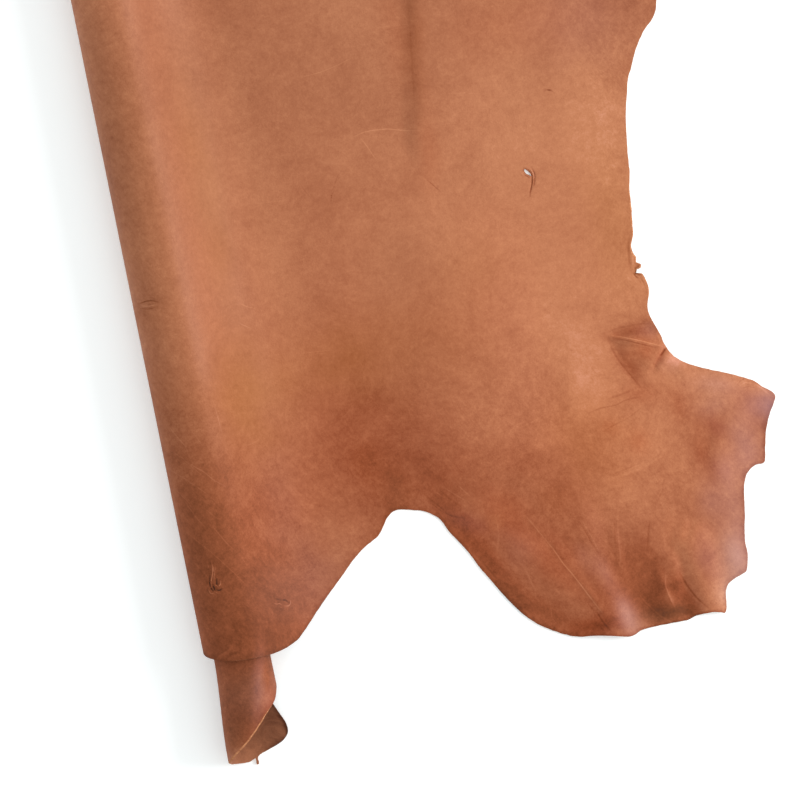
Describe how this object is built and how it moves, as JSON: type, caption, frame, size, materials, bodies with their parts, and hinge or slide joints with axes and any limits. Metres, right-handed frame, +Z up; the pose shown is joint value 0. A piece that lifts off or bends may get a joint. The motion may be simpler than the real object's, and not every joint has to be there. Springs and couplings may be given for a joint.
{
  "type": "leather side",
  "caption": "Whole tanned cowhide side lying grain up, with a ragged belly edge, front leg and throat notch, and its backbone edge rolled under into a loose scroll.",
  "frame": {"origin": "middle of the bounding box, on the surface that the hide lies on", "axes": "+X across the hide from the rolled backbone edge to the belly edge, +Y along the backbone from the neck to the butt, +Z up out of the grain side"},
  "size_m": [0.8071, 2.119, 0.0761],
  "materials": {
    "leather": "satin"
  },
  "bodies": {
    "root": {"leather_side": "leather"}
  },
  "joints": []
}
